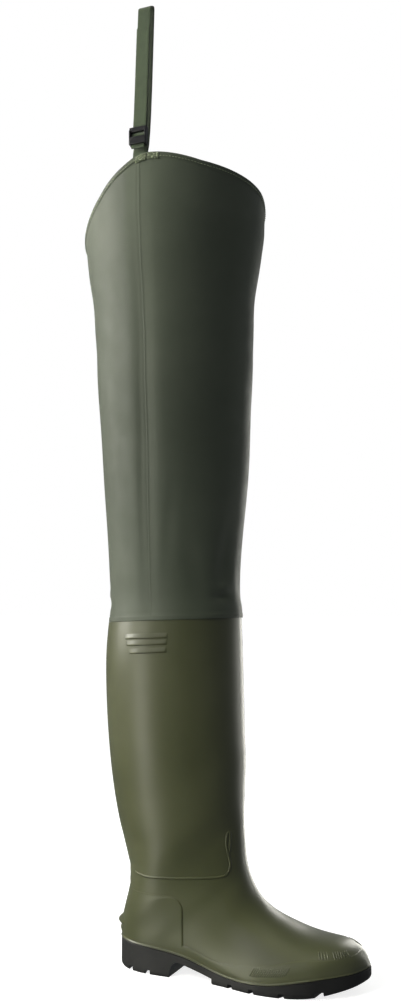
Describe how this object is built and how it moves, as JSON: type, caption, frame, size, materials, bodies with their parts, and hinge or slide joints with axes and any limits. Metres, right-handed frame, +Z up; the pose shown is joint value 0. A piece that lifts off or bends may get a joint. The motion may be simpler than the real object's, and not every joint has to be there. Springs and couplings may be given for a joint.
{
  "type": "hip wader",
  "caption": "Right hip wader: moulded boot with a black lugged sole, a wide coated fabric leg up to the thigh, and a webbing loop with a ladder buckle.",
  "frame": {"origin": "centre of the ground under the whole wader", "axes": "+Z up along the leg, +X towards the toe, -Y towards the outer (lateral) side"},
  "size_m": [0.3334, 0.194, 1.0832],
  "materials": {
    "boot_plastic": "satin, moulded, olive green",
    "sole_rubber": "matt, moulded, near black",
    "insole_foam": "matt, grey cloth on foam",
    "coated_fabric": "soft sheen, coated, grey green",
    "webbing": "matt, woven, mid green",
    "buckle_plastic": "satin, moulded, black"
  },
  "bodies": {
    "root": {"boot_upper": "boot_plastic", "outsole": "sole_rubber", "insole": "insole_foam", "shaft": "coated_fabric", "strap_webbing": "webbing", "buckle_tab": "webbing", "ladder_buckle": "buckle_plastic"}
  },
  "joints": []
}
